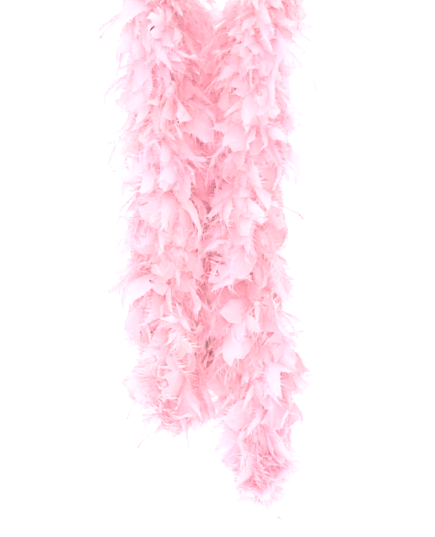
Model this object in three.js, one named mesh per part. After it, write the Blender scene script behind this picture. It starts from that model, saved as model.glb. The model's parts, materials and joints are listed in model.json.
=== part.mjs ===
// A feather boa, draped round a neck with both tails hanging down the front.
// Two twisted plies make the core cord. Turkey feathers stand out from it all round, their quills
// lashed to it by a spiral of binding thread, and each cord end is whipped and knotted.
// The feathers are modelled as a row of tufts, each a whorl of lobes threaded on the cord.
// Units are millimetres. +Z is up, -Y is the wearer's front, and the origin is the neck's centre.
import * as THREE from "three";

// ---- Driving dimensions ----
const CORD_DIAMETER = 4; // two plies of cotton twine, twisted
const CORD_SIDES = 8;
const THREAD_THICKNESS = 0.6; // the binding thread's spiral, as a sleeve on the cord
const CLEARANCE = 0.5; // between pieces threaded on each other
const TAIL_TUFT_RADIUS = 58; // feathers that hang free
const NECK_TUFT_RADIUS = 44; // feathers pressed down where they pass round the neck
const END_TUFT_RADIUS = 50; // the last tuft of each tail
const END_TIP_RADIUS = 30; // where that tuft's feathers end
const END_OVERHANG = 35; // how far they hang past the end of the cord
const TAILS_GAP = 3; // between the two tails, where their feathers press flat on each other
const LOBES = 8; // feathers seen round one whorl
const VALLEY_SHARE = 0.42; // the reach of the gap between two lobes, as a share of the lobe's
const SHOULDER_SHARE = 0.8; // a lobe's reach beside its widest place
const SHOULDER_PLACE = 0.2; // where that is, as a share of the tuft's length
const TUFT_EYE = 3; // wall round the cord at a tuft's two ends
const TUFT_GAP = 0.8; // between two tufts of one body
const HINGE_TURN = THREE.MathUtils.degToRad(30); // the furthest that one body bends from the next
const WHIPPING_LENGTH = 8;
const WHIPPING_THICKNESS = 1.6;
const KNOT_RADIUS = 5.5;
const KNOT_HEIGHT = 9;
const LOOSE_END_LENGTH = 5; // cord left beyond the knot
const STEPS_PER_TUFT = 3; // straight steps of the cord along one tuft

// ---- The cord's route, from the left tail's end, up, round the neck and down the right tail ----
const ROUTE = [
  [-45, -112, -690],
  [-49, -112, -642],
  [-52, -112, -580],
  [-49, -112, -515],
  [-51, -112, -450],
  [-57, -112, -385],
  [-65, -112, -322],
  [-63, -112, -262],
  [-63, -110, -206],
  [-72, -100, -150],
  [-90, -74, -92],
  [-100, -30, -42],
  [-94, 26, -8],
  [-58, 74, 7],
  [0, 92, 12],
  [58, 74, 7],
  [94, 26, -8],
  [100, -30, -42],
  [92, -74, -92],
  [78, -100, -150],
  [70, -110, -206],
  [66, -112, -262],
  [63, -112, -325],
  [59, -112, -390],
  [51, -112, -455],
  [46, -112, -518],
  [46, -112, -580],
  [56, -112, -642],
  [66, -112, -702],
  [68, -112, -745],
  [71, -112, -785],
];

// ---- The bodies, in the cord's order, with the number of each one's first tuft and how many ----
const STRETCHES = [
  { body: "left_lower", side: "left", first: 6, tufts: 2 },
  { body: "left_middle", side: "left", first: 4, tufts: 2 },
  { body: "left_upper", side: "left", first: 2, tufts: 2 },
  { body: "neck_loop", side: "neck", first: 1, tufts: 13 },
  { body: "right_upper", side: "right", first: 1, tufts: 2 },
  { body: "right_middle", side: "right", first: 3, tufts: 2 },
  { body: "right_lower", side: "right", first: 5, tufts: 3 },
];

const feathers = new THREE.MeshStandardMaterial({ color: "#f9c6d6", roughness: 0.85, metalness: 0 });
const twine = new THREE.MeshStandardMaterial({ color: "#f3a9c1", roughness: 0.9, metalness: 0 });
const thread = new THREE.MeshStandardMaterial({ color: "#fbe3ea", roughness: 0.7, metalness: 0 });

const cordRadius = CORD_DIAMETER / 2;
const sleeveInner = cordRadius + CLEARANCE;
const sleeveOuter = sleeveInner + THREAD_THICKNESS;
const whippingOuter = sleeveInner + WHIPPING_THICKNESS;
const boreRadius = sleeveOuter + CLEARANCE;
const eyeRadius = boreRadius + TUFT_EYE;
const hollowRadius = Math.max(KNOT_RADIUS, whippingOuter) + 2 * CLEARANCE;

const route = new THREE.CatmullRomCurve3(
  ROUTE.map((point) => new THREE.Vector3(...point)),
  false,
  "centripetal",
);
route.arcLengthDivisions = 4000;
const routeLength = route.getLength();

// How far two round faces of this radius stand back from a hinge between them, to clear its turn.
function standBack(radius) {
  return radius * Math.tan(HINGE_TURN / 2) + CLEARANCE;
}

// What lies beyond the binding thread at each end: the whipping, the knot and its loose end.
const knotTop = LOOSE_END_LENGTH + KNOT_HEIGHT;
const whippingFoot = knotTop + 2 * CLEARANCE;
const bareEnd = whippingFoot + WHIPPING_LENGTH + CLEARANCE;
const tuftCount = STRETCHES.reduce((sum, stretch) => sum + stretch.tufts, 0);
const tuftPitch = (routeLength - 2 * bareEnd) / tuftCount;

const boa = new THREE.Group();

function addPiece(name, geometry, material) {
  const piece = new THREE.Mesh(geometry, material);
  piece.name = name;
  boa.add(piece);
}

// A place on the cord, or straight on from the cord's end.
function pointAlong(distance) {
  const inside = THREE.MathUtils.clamp(distance, 0, routeLength);
  const share = inside / routeLength;
  return route.getPointAt(share).addScaledVector(route.getTangentAt(share), distance - inside);
}

// The route's frames at even steps, closely enough that it hardly turns from one to the next.
const FRAME_STEPS = 1200;
const frames = route.computeFrenetFrames(FRAME_STEPS, false);

// Bends a shape made along +Y onto the route: y becomes the distance along the cord.
function bendOntoRoute(geometry) {
  const places = geometry.getAttribute("position");
  for (let i = 0; i < places.count; i += 1) {
    const distance = places.getY(i);
    const step = Math.round((distance / routeLength) * FRAME_STEPS);
    const frame = THREE.MathUtils.clamp(step, 0, FRAME_STEPS);
    const point = pointAlong(distance)
      .addScaledVector(frames.binormals[frame], places.getX(i))
      .addScaledVector(frames.normals[frame], places.getZ(i));
    places.setXYZ(i, ...point);
  }
  return geometry;
}

// A stretch of the route as a curve of its own, for what is extruded along it.
class RouteStretch extends THREE.Curve {
  constructor(from, to) {
    super();
    this.from = from;
    this.to = to;
  }

  getPoint(share, target = new THREE.Vector3()) {
    return target.copy(pointAlong(THREE.MathUtils.lerp(this.from, this.to, share)));
  }
}

function ring(radius) {
  return Array.from({ length: CORD_SIDES }, (_, i) => {
    const angle = (2 * Math.PI * i) / CORD_SIDES;
    return new THREE.Vector2(radius * Math.cos(angle), radius * Math.sin(angle));
  });
}

// A round rod along the cord, or a sleeve round it where an inner radius is given.
function rodAlong(from, to, outer, inner) {
  const section = new THREE.Shape(ring(outer));
  if (inner) {
    section.holes.push(new THREE.Path(ring(inner).reverse()));
  }
  const steps = Math.round(((to - from) / tuftPitch) * STEPS_PER_TUFT);
  return new THREE.ExtrudeGeometry(section, {
    steps,
    extrudePath: new RouteStretch(from, to),
    bevelEnabled: false,
  });
}

// A whorl of feathers from its outer and inner profiles, each a list of [radius, distance].
// Every second column of the outer one is drawn in, to make the gaps between the lobes.
function whorl(outer, inner, leastValley, turn) {
  const profile = [...outer, ...inner, outer[0]].map(([radius, distance]) => {
    return new THREE.Vector2(radius, distance);
  });
  const geometry = new THREE.LatheGeometry(profile, 2 * LOBES, turn);
  const places = geometry.getAttribute("position");
  for (let i = 0; i < places.count; i += 1) {
    const column = Math.floor(i / profile.length);
    const row = i % profile.length;
    if (column % 2 === 1 && row < outer.length) {
      const reach = profile[row].x;
      const valley = Math.max(reach * VALLEY_SHARE, Math.min(reach, leastValley));
      places.setX(i, (places.getX(i) * valley) / reach);
      places.setZ(i, (places.getZ(i) * valley) / reach);
    }
  }
  return bendOntoRoute(geometry);
}

// The bore through a tuft, stepped so that it bends as the cord does.
function boreProfile(from, to) {
  return Array.from({ length: STEPS_PER_TUFT + 1 }, (_, i) => {
    return [boreRadius, THREE.MathUtils.lerp(to, from, i / STEPS_PER_TUFT)];
  });
}

// One tuft, widest at its middle and closing to an eye round the cord at each end.
function tuft(from, to, radius, turn) {
  const length = to - from;
  const outer = [
    [eyeRadius, from],
    [SHOULDER_SHARE * radius, from + SHOULDER_PLACE * length],
    [radius, from + length / 2],
    [SHOULDER_SHARE * radius, to - SHOULDER_PLACE * length],
    [eyeRadius, to],
  ];
  return whorl(outer, boreProfile(from, to), eyeRadius, turn);
}

// The last tuft of a tail, hanging past the knot. It hides the whipping and the knot in a hollow.
function endTuft(root, hollowStart, tip, turn) {
  const away = Math.sign(tip - root);
  const outer = [
    [eyeRadius, root],
    [SHOULDER_SHARE * END_TUFT_RADIUS, root + away * SHOULDER_PLACE * tuftPitch],
    [END_TUFT_RADIUS, root + (away * tuftPitch) / 2],
    [END_TIP_RADIUS, tip],
  ];
  const inner = [
    [hollowRadius, tip],
    [hollowRadius, hollowStart],
    ...boreProfile(root, hollowStart),
  ];
  const geometry = whorl(outer, inner, hollowRadius + TUFT_EYE, turn);
  return away > 0 ? geometry : turnedOutwards(geometry);
}

// A profile that runs the other way along the cord makes faces that point inwards.
function turnedOutwards(geometry) {
  const corners = geometry.getIndex();
  for (let i = 0; i < corners.count; i += 3) {
    const second = corners.getX(i + 1);
    corners.setX(i + 1, corners.getX(i + 2));
    corners.setX(i + 2, second);
  }
  return geometry;
}

// Presses a tuft's feathers flat where they would reach past the middle into the other tail.
function pressedAtMiddle(geometry, side) {
  const places = geometry.getAttribute("position");
  const sign = side === "left" ? -1 : 1;
  for (let i = 0; i < places.count; i += 1) {
    places.setX(i, sign * Math.max(sign * places.getX(i), TAILS_GAP / 2));
  }
  return geometry;
}

// A collar of thread wound tightly round the cord beyond the last tuft.
function whipping(from, to) {
  const profile = [
    new THREE.Vector2(sleeveInner, from),
    new THREE.Vector2(whippingOuter, from),
    new THREE.Vector2(whippingOuter, to),
    new THREE.Vector2(sleeveInner, to),
    new THREE.Vector2(sleeveInner, from),
  ];
  return bendOntoRoute(new THREE.LatheGeometry(profile, 2 * LOBES));
}

// The overhand knot's outer shape with the loose end below it, turned along the cord's end.
function knot(top, away) {
  const loose = new THREE.Vector2(cordRadius, -KNOT_HEIGHT);
  const profile = [
    new THREE.Vector2(0, -knotTop),
    new THREE.Vector2(cordRadius, -knotTop),
    loose,
    new THREE.Vector2(SHOULDER_SHARE * KNOT_RADIUS, -0.8 * KNOT_HEIGHT),
    new THREE.Vector2(KNOT_RADIUS, -0.5 * KNOT_HEIGHT),
    new THREE.Vector2(SHOULDER_SHARE * KNOT_RADIUS, -0.2 * KNOT_HEIGHT),
    new THREE.Vector2(cordRadius, 0),
    new THREE.Vector2(0, 0),
  ];
  const down = new THREE.Vector3(0, -1, 0);
  const turn = new THREE.Quaternion().setFromUnitVectors(down, away);
  return new THREE.LatheGeometry(profile, 2 * LOBES).applyQuaternion(turn).translate(...top);
}

// ---- Threading the boa, one body after another ----
let begin = bareEnd;
let tuftIndex = 0;
for (const { body, side, first, tufts } of STRETCHES) {
  const end = begin + tufts * tuftPitch;
  const isFirst = body === STRETCHES[0].body;
  const isLast = body === STRETCHES.at(-1).body;
  const boundFrom = begin + standBack(sleeveOuter);
  const boundTo = end - standBack(sleeveOuter);
  const cordFrom = isFirst ? knotTop + CLEARANCE : boundFrom;
  const cordTo = isLast ? routeLength - knotTop - CLEARANCE : boundTo;
  addPiece(`core_cord_${body}`, rodAlong(cordFrom, cordTo, cordRadius), twine);
  addPiece(`binding_thread_${body}`, rodAlong(boundFrom, boundTo, sleeveOuter, sleeveInner), thread);

  for (let i = 0; i < tufts; i += 1) {
    const from = begin + i * tuftPitch + (i === 0 ? standBack(eyeRadius) : TUFT_GAP / 2);
    const isLastOfBody = i === tufts - 1;
    const to = begin + (i + 1) * tuftPitch - (isLastOfBody ? standBack(eyeRadius) : TUFT_GAP / 2);
    const turn = ((tuftIndex % 2) * Math.PI) / (2 * LOBES);
    const number = side === "left" ? first - i : first + i;
    let geometry;
    if (isFirst && i === 0) {
      geometry = endTuft(to, from, -END_OVERHANG, turn);
    } else if (isLast && isLastOfBody) {
      geometry = endTuft(from, to, routeLength + END_OVERHANG, turn);
    } else {
      geometry = tuft(from, to, side === "neck" ? NECK_TUFT_RADIUS : TAIL_TUFT_RADIUS, turn);
    }
    if (side !== "neck") {
      pressedAtMiddle(geometry, side);
    }
    addPiece(`feather_tuft_${side}_${number}`, geometry, feathers);
    tuftIndex += 1;
  }
  begin = end;
}

const farFoot = routeLength - whippingFoot;
addPiece("end_whipping_left", whipping(whippingFoot, whippingFoot + WHIPPING_LENGTH), thread);
addPiece("end_whipping_right", whipping(farFoot - WHIPPING_LENGTH, farFoot), thread);
addPiece("end_knot_left", knot(pointAlong(knotTop), route.getTangentAt(0).negate()), twine);
addPiece("end_knot_right", knot(pointAlong(routeLength - knotTop), route.getTangentAt(1)), twine);

export default boa;
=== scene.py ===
import json
import math

import bmesh
import bpy
import numpy as np
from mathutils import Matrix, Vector


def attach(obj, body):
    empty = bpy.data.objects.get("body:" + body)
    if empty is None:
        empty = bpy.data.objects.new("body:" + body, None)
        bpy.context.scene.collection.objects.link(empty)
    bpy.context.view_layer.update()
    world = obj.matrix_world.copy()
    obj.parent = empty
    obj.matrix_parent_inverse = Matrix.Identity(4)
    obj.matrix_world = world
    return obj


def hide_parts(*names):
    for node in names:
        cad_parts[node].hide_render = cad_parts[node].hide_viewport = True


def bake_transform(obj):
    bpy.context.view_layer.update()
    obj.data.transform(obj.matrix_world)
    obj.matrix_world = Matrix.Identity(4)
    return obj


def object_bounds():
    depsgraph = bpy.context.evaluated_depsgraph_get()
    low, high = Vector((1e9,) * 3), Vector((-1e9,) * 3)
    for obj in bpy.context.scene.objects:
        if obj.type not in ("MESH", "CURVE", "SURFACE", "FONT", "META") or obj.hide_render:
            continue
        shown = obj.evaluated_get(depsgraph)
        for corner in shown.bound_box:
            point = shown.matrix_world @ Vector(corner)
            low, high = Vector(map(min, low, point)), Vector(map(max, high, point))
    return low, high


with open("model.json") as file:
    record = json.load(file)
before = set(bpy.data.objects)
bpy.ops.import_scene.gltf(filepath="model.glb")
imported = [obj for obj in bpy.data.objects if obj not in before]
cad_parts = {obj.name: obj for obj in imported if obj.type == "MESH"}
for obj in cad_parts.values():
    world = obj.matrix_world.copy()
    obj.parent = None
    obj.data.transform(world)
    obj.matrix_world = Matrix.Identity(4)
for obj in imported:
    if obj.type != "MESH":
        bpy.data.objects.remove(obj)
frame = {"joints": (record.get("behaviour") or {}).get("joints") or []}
cad_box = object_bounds()

# ---- The view ----
# A long lens well back from the two hanging tails, level, so that they are seen square on.
TAILS_Y = -0.112
VIEW_CENTRE = Vector((0.013, TAILS_Y, -0.541))
VIEW_HEIGHT = 0.671
VIEW_DISTANCE = 3.0

camera_data = bpy.data.cameras.new("studio_camera")
camera_data.sensor_width = 36.0
camera_data.lens = camera_data.sensor_width * VIEW_DISTANCE / VIEW_HEIGHT
camera = bpy.data.objects.new("studio_camera", camera_data)
camera.location = VIEW_CENTRE - Vector((0, VIEW_DISTANCE, 0))
camera.rotation_euler = (math.radians(90), 0, 0)
bpy.context.scene.collection.objects.link(camera)
bpy.context.scene.camera = camera

# ---- The core cord's route and the spans that the boa is made in ----
# One cord runs from the left tail's end, up, round the neck and down to the right tail's end.
# The boa bends at six hinges, so each span across a hinge runs from mid body to mid body.
ROUTE = [
    (-0.045, -0.112, -0.690),
    (-0.049, -0.112, -0.642),
    (-0.052, -0.112, -0.580),
    (-0.049, -0.112, -0.515),
    (-0.051, -0.112, -0.450),
    (-0.057, -0.112, -0.385),
    (-0.065, -0.112, -0.322),
    (-0.063, -0.112, -0.262),
    (-0.063, -0.110, -0.206),
    (-0.072, -0.100, -0.150),
    (-0.090, -0.074, -0.092),
    (-0.100, -0.030, -0.042),
    (-0.094, 0.026, -0.008),
    (-0.058, 0.074, 0.007),
    (0.000, 0.092, 0.012),
    (0.058, 0.074, 0.007),
    (0.094, 0.026, -0.008),
    (0.100, -0.030, -0.042),
    (0.092, -0.074, -0.092),
    (0.078, -0.100, -0.150),
    (0.070, -0.110, -0.206),
    (0.066, -0.112, -0.262),
    (0.063, -0.112, -0.325),
    (0.059, -0.112, -0.390),
    (0.051, -0.112, -0.455),
    (0.046, -0.112, -0.518),
    (0.046, -0.112, -0.580),
    (0.056, -0.112, -0.642),
    (0.066, -0.112, -0.702),
    (0.068, -0.112, -0.745),
    (0.071, -0.112, -0.785),
]
ROUTE_STEP = 0.001


def smooth_line(points, parts=60):
    """The centripetal curve through the points, as many short straight parts."""
    p = np.array(points, float)
    p = np.vstack([2 * p[0] - p[1], p, 2 * p[-1] - p[-2]])
    line = []
    for a, b, c, d in zip(p, p[1:], p[2:], p[3:]):
        ab, bc, cd = (math.sqrt(np.linalg.norm(v)) for v in (b - a, c - b, d - c))
        leave = bc * ((b - a) / ab - (c - a) / (ab + bc) + (c - b) / bc)
        arrive = bc * ((c - b) / bc - (d - b) / (bc + cd) + (d - c) / cd)
        for t in np.arange(parts) / parts:
            cubic = 2 * b - 2 * c + leave + arrive
            square = 3 * c - 3 * b - 2 * leave - arrive
            line.append(b + t * (leave + t * (square + t * cubic)))
    return np.array([*line, p[-2]])


rough_line = smooth_line(ROUTE)
walked = np.concatenate([[0], np.cumsum(np.linalg.norm(np.diff(rough_line, axis=0), axis=1))])
cord_length = float(walked[-1])


def cord_points(distances):
    """Places on the cord at distances from its left end."""
    return np.stack([np.interp(distances, walked, rough_line[:, k]) for k in range(3)], axis=-1)


def distance_of(place):
    """How far along the cord the nearest point to a place is."""
    steps = np.arange(0, cord_length, ROUTE_STEP)
    return float(steps[np.linalg.norm(cord_points(steps) - np.array(place), axis=1).argmin()])


hinges = {joint["name"]: distance_of(joint["pos_m"]) for joint in frame["joints"]}
half_body = (hinges["left_collar_swing"] - hinges["left_waist_sway"]) / 2
left_neck = hinges["left_collar_swing"] + half_body
right_neck = hinges["right_collar_swing"] - half_body
neck_third = (right_neck - left_neck) / 3

# Each span: its name, the bodies that it follows, where it starts and ends, and its CAD tufts.
spans = [
    ("left_end", ["left_lower"], 0, hinges["left_hem_swing"] - half_body, ["left_6"]),
    (
        "neck_left",
        ["neck_loop"],
        left_neck,
        left_neck + neck_third,
        ["neck_2", "neck_3", "neck_4"],
    ),
    (
        "nape",
        ["neck_loop"],
        left_neck + neck_third,
        right_neck - neck_third,
        ["neck_5", "neck_6", "neck_7", "neck_8", "neck_9"],
    ),
    (
        "neck_right",
        ["neck_loop"],
        right_neck - neck_third,
        right_neck,
        ["neck_10", "neck_11", "neck_12"],
    ),
    (
        "right_end",
        ["right_lower"],
        hinges["right_hem_swing"] + half_body,
        cord_length,
        ["right_6", "right_7"],
    ),
]
for name, bodies, joint, tufts in [
    ("left_hem", ["left_lower", "left_middle"], "left_hem_swing", ["left_5", "left_4"]),
    ("left_waist", ["left_middle", "left_upper"], "left_waist_sway", ["left_3", "left_2"]),
    ("left_collar", ["left_upper", "neck_loop"], "left_collar_swing", ["left_1", "neck_1"]),
    ("right_collar", ["neck_loop", "right_upper"], "right_collar_swing", ["neck_13", "right_1"]),
    ("right_waist", ["right_upper", "right_middle"], "right_waist_sway", ["right_2", "right_3"]),
    ("right_hem", ["right_middle", "right_lower"], "right_hem_swing", ["right_4", "right_5"]),
]:
    middle = hinges[joint]
    spans.append((name, bodies, middle - half_body, middle + half_body, tufts))
spans.sort(key=lambda span: span[2])


def follow_bodies(piece, bodies):
    """The piece rides on its one body; a piece between two bodies has its placement baked into its
    mesh and is left without a body.
    """
    if len(bodies) == 1:
        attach(piece, bodies[0])
    else:
        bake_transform(piece)


def line_mesh(name, points):
    """A chain of edges through the points, for a node tree to work along."""
    mesh = bpy.data.meshes.new(name)
    edges = [(i, i + 1) for i in range(len(points) - 1)]
    mesh.from_pydata([tuple(point) for point in points], edges, [])
    return mesh


# ---- Core cord ----
# Two plies of dyed cotton twine twisted together, 4 mm across and one length from end to end.
# It is cut here only where the spans meet, and every feather is lashed to it.
class Socket:
    """An output of a node, with arithmetic that adds Math nodes."""

    def __init__(self, tree, source):
        self.tree = tree
        self.source = source

    def math(self, operation, *values):
        settings = {"operation": operation}
        return self.tree.node("ShaderNodeMath", settings, dict(enumerate(values))).out

    def __add__(self, other):
        return self.math("ADD", self, other)

    def __sub__(self, other):
        return self.math("SUBTRACT", self, other)

    def __rsub__(self, other):
        return self.math("SUBTRACT", other, self)

    def __mul__(self, other):
        return self.math("MULTIPLY", self, other)

    def __truediv__(self, other):
        return self.math("DIVIDE", self, other)

    def __lt__(self, other):
        return self.math("LESS_THAN", self, other)

    def __gt__(self, other):
        return self.math("GREATER_THAN", self, other)

    __radd__ = __add__
    __rmul__ = __mul__


class Made:
    """A node that has been added, and its outputs by name."""

    def __init__(self, tree, node):
        self.tree = tree
        self.made = node

    def __getitem__(self, name):
        found = next(s for s in self.made.outputs if s.name == name and s.enabled)
        return Socket(self.tree, found)

    @property
    def out(self):
        return Socket(self.tree, next(s for s in self.made.outputs if s.enabled))


class Tree:
    """A shader or geometry node tree, and the one way that nodes are added to it."""

    def __init__(self, tree):
        self.tree = tree

    def node(self, kind, settings=None, inputs=None):
        made = self.tree.nodes.new(kind)
        for name, value in (settings or {}).items():
            if name == "stops":
                ramp = made.color_ramp
                while len(ramp.elements) < len(value):
                    ramp.elements.new(1)
                for element, (place, colour) in zip(ramp.elements, value):
                    element.position = place
                    element.color = colour
            else:
                setattr(made, name, value)
        for name, value in (inputs or {}).items():
            if isinstance(name, int):
                socket = made.inputs[name]
            else:
                socket = next(s for s in made.inputs if s.name == name and s.enabled)
            if isinstance(value, Socket):
                self.tree.links.new(value.source, socket)
            else:
                socket.default_value = value
        return Made(self, made)

    def vector(self, operation, *values, scale=None):
        inputs = dict(enumerate(values))
        if scale is not None:
            inputs["Scale"] = scale
        return self.node("ShaderNodeVectorMath", {"operation": operation}, inputs).out


SOCKET_KINDS = {
    "geometry": "NodeSocketGeometry",
    "length": "NodeSocketFloat",
    "number": "NodeSocketFloat",
    "count": "NodeSocketInt",
    "material": "NodeSocketMaterial",
    "collection": "NodeSocketCollection",
    "vector": "NodeSocketVector",
}


class Recipe(Tree):
    """A geometry node tree with named inputs, that makes one plain mesh each time it is used."""

    def __init__(self, name, inputs):
        super().__init__(bpy.data.node_groups.new(name, "GeometryNodeTree"))
        self.names = {}
        for label, kind in {"Geometry": "geometry", **inputs}.items():
            socket = self.tree.interface.new_socket(
                label, in_out="INPUT", socket_type=SOCKET_KINDS[kind]
            )
            self.names[label] = socket.identifier
        self.tree.interface.new_socket(
            "Geometry", in_out="OUTPUT", socket_type=SOCKET_KINDS["geometry"]
        )
        self.given = self.node("NodeGroupInput")

    def ends_in(self, geometry, material):
        whole = self.node("GeometryNodeRealizeInstances", None, {"Geometry": geometry}).out
        painted = self.node(
            "GeometryNodeSetMaterial", None, {"Geometry": whole, "Material": material}
        ).out
        self.node("NodeGroupOutput", None, {"Geometry": painted})

    def make(self, name, source, values):
        """The plain mesh object that the tree makes from a source mesh."""
        worker = bpy.data.objects.new(name + "_work", source)
        bpy.context.scene.collection.objects.link(worker)
        modifier = worker.modifiers.new("recipe", "NODES")
        modifier.node_group = self.tree
        for label, value in values.items():
            modifier[self.names[label]] = value
        ready = worker.evaluated_get(bpy.context.evaluated_depsgraph_get())
        mesh = bpy.data.meshes.new_from_object(ready)
        bpy.data.objects.remove(worker)
        mesh.name = name
        piece = bpy.data.objects.new(name, mesh)
        bpy.context.scene.collection.objects.link(piece)
        return piece


def twisting_recipe():
    """Strands laid round a path in a helix, kept between two distances along it."""
    recipe = Recipe(
        "strands_along_path",
        {
            "From": "length",
            "To": "length",
            "Strands": "count",
            "Strand Diameter": "length",
            "Lay Radius": "length",
            "Flare": "number",
            "Lay Length": "length",
            "Step": "length",
            "Sides": "count",
            "Material": "material",
        },
    )
    given = recipe.given
    path = recipe.node("GeometryNodeMeshToCurve", None, {"Mesh": given["Geometry"]}).out
    path = recipe.node(
        "GeometryNodeResampleCurve", {"mode": "LENGTH"}, {"Curve": path, "Length": given["Step"]}
    ).out
    copies = recipe.node(
        "GeometryNodeDuplicateElements",
        {"domain": "SPLINE"},
        {"Geometry": path, "Amount": given["Strands"]},
    )
    length = recipe.node("GeometryNodeSplineParameter")["Length"]
    stored = recipe.node(
        "GeometryNodeStoreNamedAttribute",
        {"data_type": "FLOAT", "domain": "POINT"},
        {"Geometry": copies["Geometry"], "Name": "distance", "Value": length},
    ).out
    distance = recipe.node(
        "GeometryNodeInputNamedAttribute", {"data_type": "FLOAT"}, {"Name": "distance"}
    )["Attribute"]
    share = copies["Duplicate Index"] / given["Strands"]
    turn = (distance / given["Lay Length"] + share) * (2 * math.pi)
    outwards = recipe.node(
        "ShaderNodeVectorRotate",
        {"rotation_type": "AXIS_ANGLE"},
        {
            "Vector": recipe.node("GeometryNodeInputNormal")["Normal"],
            "Axis": recipe.node("GeometryNodeInputTangent").out,
            "Angle": turn,
        },
    ).out
    reach = given["Lay Radius"] + distance * given["Flare"]
    helix = recipe.node(
        "GeometryNodeSetPosition",
        None,
        {"Geometry": stored, "Offset": recipe.vector("SCALE", outwards, scale=reach)},
    ).out
    kept = recipe.node(
        "GeometryNodeDeleteGeometry",
        {"domain": "POINT"},
        {
            "Geometry": helix,
            "Selection": (distance < given["From"]) + (distance > given["To"]),
        },
    ).out
    ring = recipe.node(
        "GeometryNodeCurvePrimitiveCircle",
        None,
        {"Resolution": given["Sides"], "Radius": given["Strand Diameter"] / 2},
    ).out
    tubes = recipe.node(
        "GeometryNodeCurveToMesh",
        None,
        {"Curve": kept, "Profile Curve": ring, "Fill Caps": True},
    ).out
    tubes = recipe.node(
        "GeometryNodeRemoveAttribute", None, {"Geometry": tubes, "Name": "distance"}
    ).out
    recipe.ends_in(tubes, given["Material"])
    return recipe


def painted(name):
    """A new material's tree, its principled shader and its output."""
    material = bpy.data.materials.new(name)
    material.use_nodes = True
    tree = Tree(material.node_tree)
    shader = material.node_tree.nodes["Principled BSDF"]
    return material, tree, shader


def into(tree, value, shader, name):
    tree.tree.links.new(value.source, shader.inputs[name])


def twine_material():
    """Matte dyed cotton, a little uneven, with fine fibres along the plies."""
    material, tree, shader = painted("dyed_cotton_twine")
    place = tree.node("ShaderNodeTexCoord")["Object"]
    blotches = tree.node("ShaderNodeTexNoise", None, {"Vector": place, "Scale": 140.0})["Fac"]
    fibres = tree.node(
        "ShaderNodeTexNoise", None, {"Vector": place, "Scale": 2600.0, "Detail": 4.0}
    )["Fac"]
    colour = tree.node(
        "ShaderNodeValToRGB",
        {"stops": [(0.3, (0.94, 0.55, 0.67, 1)), (0.7, (0.97, 0.68, 0.77, 1))]},
        {"Fac": blotches * 0.6 + fibres * 0.4},
    )["Color"]
    bump = tree.node(
        "ShaderNodeBump", None, {"Strength": 0.5, "Distance": 0.0003, "Height": fibres}
    )
    into(tree, colour, shader, "Base Color")
    into(tree, bump.out, shader, "Normal")
    shader.inputs["Roughness"].default_value = 0.9
    shader.inputs["Sheen Weight"].default_value = 0.4
    return material


CORD_DIAMETER = 0.004
PLY_DIAMETER = 0.0021
PLY_LAY_LENGTH = 0.012
PLY_STEP = 0.0015
SPAN_LAP = 0.001
KNOT_ROOM = 0.0145
strands = twisting_recipe()
twine = twine_material()
route_line = line_mesh("route", cord_points(np.arange(0, cord_length, ROUTE_STEP)))


def declare_cord(cord, first, last):
    """Works out the length between two distances along the cord; nothing is kept or returned."""
    length = float(abs(last - first))


cords = {}
for name, bodies, start, end, _ in spans:
    first = max(start, KNOT_ROOM)
    last = min(end, cord_length - KNOT_ROOM)
    cord = strands.make(
        "core_cord_" + name,
        route_line,
        {
            "From": first,
            "To": last + SPAN_LAP,
            "Strands": 2,
            "Strand Diameter": PLY_DIAMETER,
            "Lay Radius": (CORD_DIAMETER - PLY_DIAMETER) / 2,
            "Flare": 0.0,
            "Lay Length": PLY_LAY_LENGTH,
            "Step": PLY_STEP,
            "Sides": 6,
            "Material": twine,
        },
    )
    follow_bodies(cord, bodies)
    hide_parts(*["core_cord_" + body for body in bodies])
    cords[name] = cord
    if not name.endswith("_end"):
        declare_cord(cord, first, last)

# ---- Binding thread and end whippings ----
# Fine spun thread wound in a spiral along the cord, over every quill, which holds the feathers on.
# At each end it is wound tightly into a short whipping, so that the last feathers can't slip off.
THREAD_DIAMETER = 0.0006
THREAD_LAY_LENGTH = 0.0045
THREAD_RADIUS = 0.0025
THREAD_STEP = 0.0005
THREAD_ROOM = 0.0235
WHIPPING_DIAMETER = 0.0008
WHIPPING_RADIUS = 0.0026
WHIPPING_ROOM = 0.015
WHIPPING_LENGTH = 0.008


def thread_material():
    """Pale spun thread with a slight sheen."""
    material, tree, shader = painted("spun_thread")
    place = tree.node("ShaderNodeTexCoord")["Object"]
    fuzz = tree.node("ShaderNodeTexNoise", None, {"Vector": place, "Scale": 1800.0})["Fac"]
    colour = tree.node(
        "ShaderNodeValToRGB",
        {"stops": [(0.35, (0.86, 0.52, 0.62, 1)), (0.65, (0.95, 0.72, 0.79, 1))]},
        {"Fac": fuzz},
    )["Color"]
    into(tree, colour, shader, "Base Color")
    into(tree, 0.5 + fuzz * 0.4, shader, "Roughness")
    shader.inputs["Sheen Weight"].default_value = 0.3
    return material


thread = thread_material()
for name, bodies, start, end, _ in spans:
    binding = strands.make(
        "binding_thread_" + name,
        route_line,
        {
            "From": max(start, THREAD_ROOM),
            "To": min(end, cord_length - THREAD_ROOM),
            "Strands": 1,
            "Strand Diameter": THREAD_DIAMETER,
            "Lay Radius": THREAD_RADIUS,
            "Flare": 0.0,
            "Lay Length": THREAD_LAY_LENGTH,
            "Step": THREAD_STEP,
            "Sides": 4,
            "Material": thread,
        },
    )
    follow_bodies(binding, bodies)
    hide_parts(*["binding_thread_" + body for body in bodies])

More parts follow.
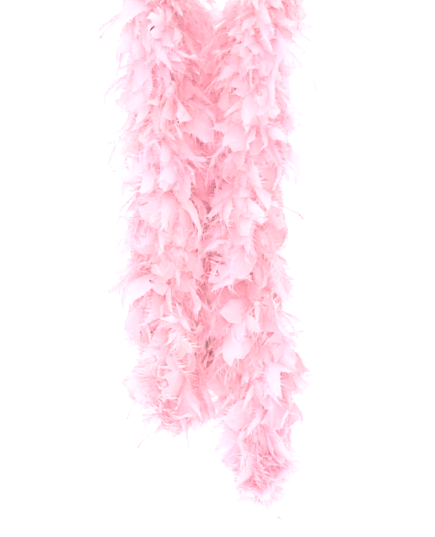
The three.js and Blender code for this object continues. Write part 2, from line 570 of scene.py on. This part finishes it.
for side, body, start in [
    ("left", "left_lower", WHIPPING_ROOM),
    ("right", "right_lower", cord_length - WHIPPING_ROOM - WHIPPING_LENGTH),
]:
    whipping = strands.make(
        "wound_whipping_" + side,
        route_line,
        {
            "From": start,
            "To": start + WHIPPING_LENGTH,
            "Strands": 1,
            "Strand Diameter": WHIPPING_DIAMETER,
            "Lay Radius": WHIPPING_RADIUS,
            "Flare": 0.0,
            "Lay Length": WHIPPING_DIAMETER,
            "Step": WHIPPING_DIAMETER / 10,
            "Sides": 5,
            "Material": thread,
        },
    )
    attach(whipping, body)
    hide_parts("end_whipping_" + side)

# ---- End knots ----
# An overhand knot in each cord end, pulled tight, with a short frayed end left beyond it.
KNOT_RADIUS = 0.0032
KNOT_HEIGHT = 0.009
KNOT_LAY_RADIUS = 0.0008
KNOT_STEP = 0.0007
LOOSE_LENGTH = 0.005
LOOSE_STRANDS = 11
LOOSE_DIAMETER = 0.0005
LOOSE_RADIUS = 0.0009
LOOSE_FLARE = 0.3
LOOSE_LAY_LENGTH = 0.03
WHOLE_LINE = 1.0


def knot_path(top, down, across):
    """An overhand knot from its top point downwards: in, twice round through itself, and out."""
    sideways = np.cross(down, across)
    points = [top]
    for angle in np.linspace(0.3, 2 * math.pi - 0.3, 24):
        reach = KNOT_RADIUS * (2 - math.cos(3 * angle)) / 3
        drop = KNOT_HEIGHT * (0.18 + 0.32 * angle / math.pi + 0.22 * math.sin(3 * angle))
        around = 2 * angle
        points.append(
            top
            + down * drop
            + across * reach * math.cos(around)
            + sideways * reach * math.sin(around)
        )
    points.append(top + down * (KNOT_HEIGHT + 0.2 * LOOSE_LENGTH))
    points.append(top + down * (KNOT_HEIGHT + 0.5 * LOOSE_LENGTH))
    return smooth_line(points, 10)


for side, body, leaves, top_distance, tip_distance in [
    ("left", "left_lower", spans[0][3], KNOT_ROOM, 0.0),
    ("right", "right_lower", spans[-1][2], cord_length - KNOT_ROOM, cord_length),
]:
    top, tip = cord_points([top_distance, tip_distance])
    down = (tip - top) / np.linalg.norm(tip - top)
    across = np.cross(down, (0, 1, 0))
    knot = strands.make(
        "tied_knot_" + side,
        line_mesh("knot_line", knot_path(top, down, across)),
        {
            "From": 0.0,
            "To": WHOLE_LINE,
            "Strands": 2,
            "Strand Diameter": PLY_DIAMETER,
            "Lay Radius": KNOT_LAY_RADIUS,
            "Flare": 0.0,
            "Lay Length": PLY_LAY_LENGTH,
            "Step": KNOT_STEP,
            "Sides": 7,
            "Material": twine,
        },
    )
    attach(knot, body)
    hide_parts("end_knot_" + side)
    loose_top = top + down * (KNOT_HEIGHT + 0.3 * LOOSE_LENGTH)
    loose_line = [loose_top + down * LOOSE_LENGTH * share for share in (0, 0.3, 0.6, 0.9, 1.2)]
    fray = strands.make(
        "frayed_end_" + side,
        line_mesh("fray_line", loose_line),
        {
            "From": 0.0,
            "To": WHOLE_LINE,
            "Strands": LOOSE_STRANDS,
            "Strand Diameter": LOOSE_DIAMETER,
            "Lay Radius": LOOSE_RADIUS,
            "Flare": LOOSE_FLARE,
            "Lay Length": LOOSE_LAY_LENGTH,
            "Step": ROUTE_STEP,
            "Sides": 4,
            "Material": twine,
        },
    )
    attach(fray, body)
    declare_cord(
        cords[side + "_end"], leaves, top_distance
    )

# ---- Feathers ----
# Dyed turkey flats: a curved pale quill with a soft broad vane, whose barbs part at the edge, and
# loose down at its foot. Each is lashed to the cord, and they stand out all round it.
SEED = 7
BARB_LINES = 5
BARB_SHARES = (0.0, 0.5, 1.0)
FRINGE_HAIRS = 16
PLUME_BARBS = 16
DOWN_STRANDS = 22
DOWN_LENGTH = 0.036
HAIR_HALF_WIDTH = 0.0006
VANE_FOOT = 0.14
VANE_TOP = 0.93
QUILL_TOP = 0.94
draw = np.random.default_rng(SEED)


def unit(vector):
    return vector / np.linalg.norm(vector)


class FeatherShape:
    """The mesh of one feather, standing along +Z with its outer face towards +Y."""

    def __init__(self, length, curl, sweep, twist):
        self.length = length
        self.curl = curl
        self.sweep = sweep
        self.twist = twist
        self.mesh = bmesh.new()
        self.along = self.mesh.verts.layers.float.new("along")
        self.across = self.mesh.verts.layers.float.new("across")

    def quill(self, t):
        """The quill's point at a share of its length, with its direction, side and outer face."""
        steps = np.linspace(0, t, 12)
        bend = self.curl * steps**1.3
        lean = self.sweep * steps**2
        away = np.stack([np.sin(lean), -np.sin(bend) * np.cos(lean), np.cos(bend) * np.cos(lean)])
        point = away.mean(axis=1) * t * self.length
        forward = unit(away[:, -1])
        face = unit(np.cross(forward, (1, 0, 0)))
        side = np.cross(face, forward)
        turn = self.twist * t
        side, face = (
            side * math.cos(turn) + face * math.sin(turn),
            face * math.cos(turn) - side * math.sin(turn),
        )
        return point, forward, side, face

    def point(self, place, along, across):
        made = self.mesh.verts.new(place)
        made[self.along] = along
        made[self.across] = across
        return made

    def add_quill(self, thick, steps):
        """The quill: a narrow raised strip, marked by an across of -1."""
        rows = []
        for t in np.linspace(0, QUILL_TOP, steps):
            place, _, side, face = self.quill(t)
            half = thick * (1 - 0.75 * t) / 2
            rows.append(
                [self.point(place + face * 0.0004 + side * half * k, t, -1.0) for k in (-1, 1)]
            )
        for low, high in zip(rows, rows[1:]):
            self.mesh.faces.new([low[0], low[1], high[1], high[0]])

    def hair(self, place, away, side, half, along):
        """One loose hair: a thin triangle."""
        self.mesh.faces.new(
            [
                self.point(place - side * half, along, 0.8),
                self.point(place + side * half, along, 0.8),
                self.point(place + away, along, 1.5),
            ]
        )

    def add_vane(self, hand, width, cup, ragged, parting, hairs):
        """One side of the vane: barbs that slant from the quill, and part into a soft fringe."""
        lines = []
        for i in range(BARB_LINES + 1):
            share = i / BARB_LINES
            t = VANE_FOOT + (VANE_TOP - VANE_FOOT) * share
            root, forward, side, face = self.quill(t)
            fullness = math.sin(math.pi * (0.15 + 0.70 * share)) ** 0.7
            reach = width * fullness * draw.uniform(1 - ragged, 1 + ragged)
            slant = math.radians(66) * (1 - share**3)
            out = side * hand * math.sin(slant) + forward * math.cos(slant)
            wave = draw.normal(0, 0.08)
            line = []
            for outwards in BARB_SHARES:
                rise = face * reach * (wave * outwards - cup * outwards**2)
                line.append(root + out * reach * outwards + rise)
            lines.append((np.array(line), t, forward))
        made = [
            [self.point(place, t, share * 0.8) for place, share in zip(line, BARB_SHARES)]
            for line, t, _ in lines
        ]
        for low, high in zip(made, made[1:]):
            parted = draw.uniform() < parting
            for k in range(len(BARB_SHARES) - 1):
                corners = [low[k], low[k + 1], high[k + 1], high[k]]
                if parted and k == len(BARB_SHARES) - 2:
                    corners = [low[k], low[k + 1], high[k]]
                if hand < 0:
                    corners.reverse()
                self.mesh.faces.new(corners)
        for i in range(hairs):
            place_along = (i + draw.uniform(0.1, 0.9)) / hairs * BARB_LINES
            k = min(int(place_along), BARB_LINES - 1)
            part = place_along - k
            line = lines[k][0] * (1 - part) + lines[k + 1][0] * part
            t = lines[k][1] * (1 - part) + lines[k + 1][1] * part
            out = unit(line[-1] - line[-2])
            forward = lines[k][2]
            place = line[-1] - out * width * draw.uniform(0.15, 0.35)
            away = unit(out + draw.normal(0, 0.1, 3)) * width * draw.uniform(0.4, 0.85)
            self.hair(place, away, forward, draw.uniform(0.0010, 0.0024), t)

    def bent_hair(self, place, away, sag, side, half, along):
        """One loose barb that bends as it goes out."""
        middle = place + away * 0.5 + sag * 0.25
        low = [self.point(place + side * half * k, along, 0.3) for k in (-1, 1)]
        high = [self.point(middle + side * half * 0.75 * k, along, 0.8) for k in (-1, 1)]
        self.mesh.faces.new([low[0], low[1], high[1], high[0]])
        self.mesh.faces.new([high[0], high[1], self.point(place + away + sag, along, 1.4)])

    def add_foot_down(self, reach, count):
        """Loose down on both sides of the quill's foot."""
        for _ in range(count):
            t = draw.uniform(0.06, 0.3)
            root, forward, side, face = self.quill(t)
            hand = draw.choice((-1, 1))
            away = unit(side * hand + forward * draw.uniform(0.1, 0.9) + draw.normal(0, 0.35, 3))
            away = away * reach * draw.uniform(0.6, 1.1)
            self.hair(root, away, forward, HAIR_HALF_WIDTH, t)

    def object(self, name):
        for face in self.mesh.faces:
            face.smooth = True
        made = bpy.data.meshes.new(name)
        self.mesh.to_mesh(made)
        self.mesh.free()
        return bpy.data.objects.new(name, made)


def flat_feather(name, length, width):
    """A turkey flat: broad, blunt and soft, fullest past its middle."""
    curl = math.radians(draw.uniform(35, 100))
    sweep = math.radians(draw.uniform(-30, 30))
    twist = math.radians(draw.uniform(-50, 50))
    shape = FeatherShape(length, curl, sweep, twist)
    shape.add_quill(0.0015, 5)
    for hand in (-1, 1):
        shape.add_vane(hand, width * 0.78, draw.uniform(0.1, 0.6), 0.14, 0.25, FRINGE_HAIRS)
    shape.add_foot_down(0.020, 8)
    return shape.object(name)


def plume_feather(name, length, width):
    """A half-down feather whose barbs stand apart, seen as wisps round the outside."""
    curl = math.radians(draw.uniform(20, 85))
    sweep = math.radians(draw.uniform(-30, 30))
    shape = FeatherShape(length, curl, sweep, math.radians(draw.uniform(-60, 60)))
    shape.add_quill(0.0009, 6)
    for hand in (-1, 1):
        shape.add_vane(hand, width * 0.3, draw.uniform(0.1, 0.5), 0.3, 0.6, 0)
        for i in range(PLUME_BARBS):
            t = 0.16 + 0.8 * (i + draw.uniform(0.2, 0.8)) / PLUME_BARBS
            root, forward, side, face = shape.quill(t)
            slant = math.radians(62 - 44 * t + draw.uniform(-12, 12))
            away = side * hand * math.sin(slant) + forward * math.cos(slant)
            reach = width * draw.uniform(0.7, 1.15)
            sag = (forward * draw.uniform(0.1, 0.4) - face * draw.uniform(0.0, 0.5)) * reach
            shape.bent_hair(root, unit(away) * reach, sag, forward, HAIR_HALF_WIDTH, t)
    shape.add_foot_down(0.018, 6)
    return shape.object(name)


def down_tuft(name, length):
    """Loose down from a feather's foot: fine strands in every direction on one side."""
    shape = FeatherShape(length, 0, 0, 0)
    for _ in range(DOWN_STRANDS):
        away = draw.normal(0, 1, 3)
        away[2] = abs(away[2]) + 0.6
        away = unit(away)
        side = unit(np.cross(away, draw.normal(0, 1, 3)))
        curve = np.cross(away, side)
        reach = length * draw.uniform(0.55, 1.1)
        low, high = (
            [
                shape.point(
                    away * reach * share + curve * reach * 0.3 * share**2 + side * half * k,
                    share,
                    share,
                )
                for k in (-1, 1)
            ]
            for share, half in ((0.04, HAIR_HALF_WIDTH), (0.55, 0.0005))
        )
        tip = shape.point(away * reach + curve * reach * 0.3, 1, 1.3)
        shape.mesh.faces.new([low[0], low[1], high[1], high[0]])
        shape.mesh.faces.new([high[0], high[1], tip])
    return shape.object(name)


def shape_set(name, shapes):
    """A set of shapes for a recipe to pick from, kept out of the scene."""
    made = bpy.data.collections.new(name)
    for shape in shapes:
        made.objects.link(shape)
    return made


flats = shape_set(
    "flat_feathers",
    [
        flat_feather(f"flat_feather_{i}", draw.uniform(0.078, 0.098), draw.uniform(0.024, 0.032))
        for i in range(8)
    ],
)
plumes = shape_set(
    "plume_feathers",
    [
        plume_feather(f"plume_feather_{i}", draw.uniform(0.066, 0.084), draw.uniform(0.018, 0.026))
        for i in range(4)
    ],
)
downs = shape_set("down_tufts", [down_tuft(f"down_tuft_{i}", DOWN_LENGTH) for i in range(4)])


# Feathers near a loose end hang closer to the cord, and where the tails meet they press back.
BUNCH = 3
FANNED = 0.5
ROLLED = 1.2
LUMP_SCALE = 15.0
RUFFLE_SCALE = 26.0
END_REACH = 0.11
COLLAR_Z = (-0.36, -0.31)
PRESS_FROM = (-0.010, -0.004)
PRESS_SHARE = 0.7
COLLAR_LEAN = 2.2


def lashing_recipe():
    """Feathers lashed round a path in loose bunches, that lean outwards and hang a little."""
    recipe = Recipe(
        "feathers_along_path",
        {
            "From": "length",
            "To": "length",
            "Cord Length": "length",
            "Spacing": "length",
            "Shapes": "collection",
            "Smallest": "number",
            "Largest": "number",
            "Droop": "number",
            "End Droop": "number",
            "End Shrink": "number",
            "Scatter": "number",
            "Push Outwards": "number",
            "Lean Inwards": "number",
            "Side": "number",
            "Ruffle": "length",
            "Lowest": "vector",
            "Highest": "vector",
            "Seed": "count",
            "Material": "material",
        },
    )
    given = recipe.given
    path = recipe.node("GeometryNodeMeshToCurve", None, {"Mesh": given["Geometry"]}).out
    dots = recipe.node(
        "GeometryNodeCurveToPoints",
        {"mode": "LENGTH"},
        {"Curve": path, "Length": given["Spacing"]},
    )
    points = dots["Points"]
    found = {}
    for label, kind, value in [
        ("order", "INT", recipe.node("GeometryNodeInputIndex").out),
        ("tangent", "FLOAT_VECTOR", dots["Tangent"]),
        ("normal", "FLOAT_VECTOR", dots["Normal"]),
    ]:
        points = recipe.node(
            "GeometryNodeStoreNamedAttribute",
            {"data_type": kind, "domain": "POINT"},
            {"Geometry": points, "Name": label, "Value": value},
        ).out
        found[label] = recipe.node(
            "GeometryNodeInputNamedAttribute", {"data_type": kind}, {"Name": label}
        )["Attribute"]
    order = found["order"]
    distance = order * given["Spacing"]
    points = recipe.node(
        "GeometryNodeDeleteGeometry",
        {"domain": "POINT"},
        {
            "Geometry": points,
            "Selection": (distance < given["From"]) + (1 - (distance < given["To"])),
        },
    ).out

    def chance(least, most, salt, kind="FLOAT", identity=order):
        return recipe.node(
            "FunctionNodeRandomValue",
            {"data_type": kind},
            {"Min": least, "Max": most, "ID": identity, "Seed": given["Seed"] + salt},
        ).out

    # Three feathers in a row share a bunch, and stand out nearly the same way.
    third = order / BUNCH
    bunch = third.math("FLOOR", third)
    angle = chance(0.0, 2 * math.pi, 1, identity=bunch) + chance(-FANNED, FANNED, 2)
    radial = recipe.node(
        "ShaderNodeVectorRotate",
        {"rotation_type": "AXIS_ANGLE"},
        {"Vector": found["normal"], "Axis": found["tangent"], "Angle": angle},
    ).out
    other_way = given["Cord Length"] - distance
    to_end = distance.math("MINIMUM", distance, other_way)
    near_end = 1 - to_end / END_REACH
    near_end = near_end.math("MAXIMUM", near_end, 0.0)
    place = recipe.node("GeometryNodeInputPosition").out
    parts = recipe.node("ShaderNodeSeparateXYZ", None, {"Vector": place})

    def down_the_tail(at_tail, at_collar):
        """A value that changes where the tails leave the collar."""
        return recipe.node(
            "ShaderNodeMapRange",
            None,
            {
                "Value": parts["Z"],
                "From Min": COLLAR_Z[0],
                "From Max": COLLAR_Z[1],
                "To Min": at_tail,
                "To Max": at_collar,
            },
        ).out

    from_neck = recipe.vector("NORMALIZE", recipe.vector("MULTIPLY", place, (1, 1, 0)))
    towards = radial
    for way, amount in [
        (chance((-1, -1, -1), (1, 1, 1), 3, "FLOAT_VECTOR"), given["Scatter"]),
        ((0, 0, -1), given["Droop"] + given["End Droop"] * near_end),
        (from_neck, given["Push Outwards"]),
        ((-1, 0, 0), given["Lean Inwards"] * down_the_tail(1.0, COLLAR_LEAN) * given["Side"]),
    ]:
        towards = recipe.vector("ADD", towards, recipe.vector("SCALE", way, scale=amount))
    upright = recipe.node(
        "FunctionNodeAlignRotationToVector", {"axis": "Z"}, {"Vector": towards}
    ).out
    faced = recipe.node(
        "FunctionNodeAlignRotationToVector",
        {"axis": "Y", "pivot_axis": "Z"},
        {"Rotation": upright, "Vector": (0, 0, 1)},
    ).out
    roll = recipe.node(
        "FunctionNodeAxisAngleToRotation",
        None,
        {"Axis": (0, 0, 1), "Angle": chance(-ROLLED, ROLLED, 4)},
    ).out
    turned = recipe.node(
        "FunctionNodeRotateRotation",
        {"rotation_space": "LOCAL"},
        {"Rotation": faced, "Rotate By": roll},
    ).out
    shapes = recipe.node(
        "GeometryNodeCollectionInfo",
        None,
        {"Collection": given["Shapes"], "Separate Children": True, "Reset Children": True},
    ).out
    lumps = recipe.node("ShaderNodeTexNoise", None, {"Vector": place, "Scale": LUMP_SCALE})["Fac"]
    size = chance(given["Smallest"], given["Largest"], 5) * (0.75 + lumps * 0.5)
    size = size * (1 - near_end * given["End Shrink"])
    lashed = recipe.node(
        "GeometryNodeInstanceOnPoints",
        None,
        {
            "Points": points,
            "Instance": shapes,
            "Pick Instance": True,
            "Instance Index": chance(0, 7, 6, "INT"),
            "Rotation": turned,
            "Scale": size,
        },
    ).out
    lashed = recipe.node(
        "GeometryNodeStoreNamedAttribute",
        {"data_type": "FLOAT", "domain": "INSTANCE"},
        {"Geometry": lashed, "Name": "tone", "Value": chance(0.0, 1.0, 8)},
    ).out
    feathers = recipe.node("GeometryNodeRealizeInstances", None, {"Geometry": lashed}).out
    for label in found:
        feathers = recipe.node(
            "GeometryNodeRemoveAttribute", None, {"Geometry": feathers, "Name": label}
        ).out

    # Each feather is ruffled in its own way, more towards its tip.
    along, tone = (
        recipe.node("GeometryNodeInputNamedAttribute", {"data_type": "FLOAT"}, {"Name": label})[
            "Attribute"
        ]
        for label in ("along", "tone")
    )
    waves = recipe.node(
        "ShaderNodeTexNoise",
        {"noise_dimensions": "4D"},
        {"Vector": place, "W": tone * 20, "Scale": RUFFLE_SCALE, "Detail": 1.0},
    )["Color"]
    waves = recipe.vector("SUBTRACT", waves, (0.5, 0.5, 0.5))
    ruffle = recipe.vector("SCALE", waves, scale=along * given["Ruffle"])
    feathers = recipe.node(
        "GeometryNodeSetPosition", None, {"Geometry": feathers, "Offset": ruffle}
    ).out
    press_from = down_the_tail(*PRESS_FROM)
    inwards = press_from - parts["X"] * given["Side"]
    back = inwards.math("MAXIMUM", inwards, 0.0) * given["Side"] * PRESS_SHARE
    pressed = recipe.node(
        "GeometryNodeSetPosition",
        None,
        {
            "Geometry": feathers,
            "Offset": recipe.node("ShaderNodeCombineXYZ", None, {"X": back}).out,
        },
    ).out
    below = recipe.vector("MINIMUM", place, given["Highest"])
    inside = recipe.vector("MAXIMUM", below, given["Lowest"])
    kept = recipe.node(
        "GeometryNodeSetPosition", None, {"Geometry": pressed, "Position": inside}
    ).out
    recipe.ends_in(kept, given["Material"])
    return recipe


# Painted shade in the hollow between the tails: its middle, its width and how much deeper it makes
# the pink.
VALLEY_SHADE_X = 0.003
VALLEY_SHADE_WIDTH = 0.024
VALLEY_SHADE_DEPTH = 0.24
LET_THROUGH = (0.98, 0.815, 0.865, 1)
THROUGH_SHARE = 0.68


def feather_material():
    """Soft dyed vane: deeper pink at the foot, which is painted shade where the feathers overlap,
    paler outwards, with a pale quill, and letting light in; painted shade also deepens the pink in
    the hollow between the tails.
    """
    material, tree, shader = painted("dyed_feather")
    along, across, tone = (
        tree.node("ShaderNodeAttribute", {"attribute_name": label})["Fac"]
        for label in ("along", "across", "tone")
    )
    place = tree.node("ShaderNodeTexCoord")["Object"]
    cloud = tree.node("ShaderNodeTexNoise", None, {"Vector": place, "Scale": 30.0})["Fac"]
    barb_place = tree.node(
        "ShaderNodeCombineXYZ", None, {"X": along * 150, "Y": across * 2.5, "Z": tone * 90}
    ).out
    barbs = tree.node(
        "ShaderNodeTexNoise", None, {"Vector": barb_place, "Scale": 1.0, "Detail": 3.0}
    )["Fac"]
    quill = across < -0.5
    # Deeper pink towards each feather's foot is painted shade from the feathers that overlap it.
    paleness = 0.10 + along * 0.30 + across * 0.18 + tone * 0.18 + (cloud - 0.5) * 0.4
    paleness = paleness + (barbs - 0.5) * 0.3 + quill * 0.75 + (tone > 0.93) * 0.18
    # Painted shade: the colour is made deeper and darker in the hollow where the two tails press
    # together, below the collar.
    spot = tree.node("ShaderNodeSeparateXYZ", None, {"Vector": place})
    off_middle = (spot["X"] - VALLEY_SHADE_X) / VALLEY_SHADE_WIDTH
    valley_shade = 1 - off_middle * off_middle
    shade_below_collar = tree.node(
        "ShaderNodeMapRange",
        None,
        {"Value": spot["Z"], "From Min": COLLAR_Z[1], "From Max": COLLAR_Z[0]},
    ).out
    paleness = paleness - valley_shade.math("MAXIMUM", valley_shade, 0.0) * shade_below_collar * VALLEY_SHADE_DEPTH
    colour = tree.node(
        "ShaderNodeValToRGB",
        {
            "stops": [
                (0.0, (0.98, 0.60, 0.73, 1)),
                (0.35, (0.98, 0.73, 0.815, 1)),
                (0.65, (0.975, 0.76, 0.805, 1)),
                (1.0, (0.97, 0.80, 0.815, 1)),
            ]
        },
        {"Fac": paleness},
    )["Color"]
    patches = tree.node("ShaderNodeTexNoise", None, {"Vector": place, "Scale": 11.0})["Fac"]
    cast = tree.node(
        "ShaderNodeValToRGB",
        {"stops": [(0.4, (1.0, 1.0, 0.97, 1)), (0.6, (1.0, 0.975, 1.0, 1))]},
        {"Fac": patches},
    )["Color"]
    into(tree, tree.vector("MULTIPLY", colour, cast), shader, "Base Color")
    bump = tree.node(
        "ShaderNodeBump", None, {"Strength": 0.35, "Distance": 0.0004, "Height": barbs}
    )
    into(tree, bump.out, shader, "Normal")
    shader.inputs["Roughness"].default_value = 0.7
    shader.inputs["Specular IOR Level"].default_value = 0.25
    shader.inputs["Sheen Weight"].default_value = 0.2
    through = tree.node("ShaderNodeBsdfTranslucent", None, {"Color": LET_THROUGH}).out
    whole = Socket(tree, shader.outputs["BSDF"])
    mixed = tree.node("ShaderNodeMixShader", None, {0: THROUGH_SHARE, 1: whole, 2: through}).out
    output = material.node_tree.nodes["Material Output"]
    tree.tree.links.new(mixed.source, output.inputs["Surface"])
    return material


lashing = lashing_recipe()
feather = feather_material()
CAD_SIZE = np.array(cad_box[1]) - np.array(cad_box[0])
PROUD = CAD_SIZE * 0.03 + 0.007
lowest = tuple(np.array(cad_box[0]) - PROUD)
highest = tuple(np.array(cad_box[1]) + PROUD)
FEATHER_ROOM = 0.022

# Each layer: its kind, shapes, spacing, smallest and largest size, droop, scatter, lean inwards,
# ruffle and seed. Wisps fill the hollow between the tails, and are longest at the collar.
LAYERS = [
    ("flat", flats, 0.0008, 0.66, 1.04, 0.50, 0.40, 0.30, 0.036, 11),
    ("inner", flats, 0.0012, 0.46, 0.70, 0.30, 0.50, 0.90, 0.020, 5),
    ("plume", plumes, 0.0012, 0.76, 1.12, 0.45, 0.45, 0.40, 0.036, 23),
    ("stray", plumes, 0.0110, 1.15, 1.40, 0.35, 0.60, 0.0, 0.050, 51),
    ("down", downs, 0.0006, 0.8, 1.5, 0.15, 0.4, 0.60, 0.010, 37),
]
COLLAR_WISPS = ("wisp", plumes, 0.0040, 1.15, 1.60, 0.30, 0.30, 1.60, 0.030, 71)
TAIL_WISPS = ("wisp", plumes, 0.0060, 0.85, 1.20, 0.40, 0.30, 1.60, 0.030, 71)

for name, bodies, start, end, tufts in spans:
    side = -1.0 if name.startswith("left") else 1.0 if name.startswith("right") else 0.0
    at_neck = bodies == ["neck_loop"]
    at_collar = name.endswith("collar")
    size = 0.80 if at_neck else 0.86 if at_collar else 1.0
    wisps = []
    if at_collar:
        wisps = [COLLAR_WISPS]
    elif not at_neck and not name.endswith("_end"):
        wisps = [TAIL_WISPS]
    for kind, shapes, spacing, least, most, droop, scatter, inwards, ruffle, seed in LAYERS + wisps:
        scale = size if kind == "flat" or at_neck else 1.0
        piece = lashing.make(
            f"{kind}_feathers_{name}",
            route_line,
            {
                "From": max(start, FEATHER_ROOM),
                "To": min(end, cord_length - FEATHER_ROOM),
                "Cord Length": cord_length,
                "Spacing": spacing,
                "Shapes": shapes,
                "Smallest": least * scale,
                "Largest": most * scale,
                "Droop": droop,
                "End Droop": 1.4 if side < 0 else 3.2,
                "End Shrink": -0.25 if side < 0 else -0.1,
                "Scatter": scatter,
                "Push Outwards": 0.7 if at_neck else 0.4 if at_collar else 0.0,
                "Lean Inwards": inwards,
                "Side": side,
                "Ruffle": ruffle,
                "Lowest": lowest,
                "Highest": highest,
                "Seed": seed,
                "Material": feather,
            },
        )
        follow_bodies(piece, bodies)
        if kind == "flat":
            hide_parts(*["feather_tuft_" + tuft for tuft in tufts])

# ---- Studio ----
# A pale floor far below the hanging tails, white surroundings and three large soft lights: one
# from the front and one above it to the left, for the visible side, and one from behind.
FLOOR_Z = -1.45
FLOOR_SIZE = 4.4
bpy.ops.mesh.primitive_plane_add(size=FLOOR_SIZE, location=(0, 0, FLOOR_Z))
floor = bpy.context.object
floor.name = "studio_floor"
floor_material, _, floor_shader = painted("pale_floor")
floor_shader.inputs["Base Color"].default_value = (0.86, 0.85, 0.85, 1)
floor_shader.inputs["Roughness"].default_value = 0.8
floor.data.materials.append(floor_material)

world = bpy.data.worlds.new("studio")
bpy.context.scene.world = world
world.use_nodes = True
backdrop = world.node_tree.nodes["Background"]
backdrop.inputs["Color"].default_value = (1, 1, 1, 1)
backdrop.inputs["Strength"].default_value = 1.1


def soft_light(name, place, size, power):
    """A square area light turned towards the boa."""
    data = bpy.data.lights.new(name, "AREA")
    data.size = size
    data.energy = power
    light = bpy.data.objects.new(name, data)
    light.location = place
    light.rotation_euler = (VIEW_CENTRE - Vector(place)).to_track_quat("-Z", "Y").to_euler()
    bpy.context.scene.collection.objects.link(light)


soft_light("key_light", (-1.2, -2.6, 0.6), 1.6, 30)
soft_light("front_light", (0.0, -3.5, -0.45), 1.2, 88)
soft_light("back_light", (0.4, 3.0, 0.1), 2.4, 60)
bpy.context.scene.view_settings.view_transform = "Standard"

# Light passes many times from feather to feather before it is lost, so its paths are kept long.
paths = bpy.context.scene.cycles
paths.max_bounces = 24
paths.transmission_bounces = 24
paths.diffuse_bounces = 12
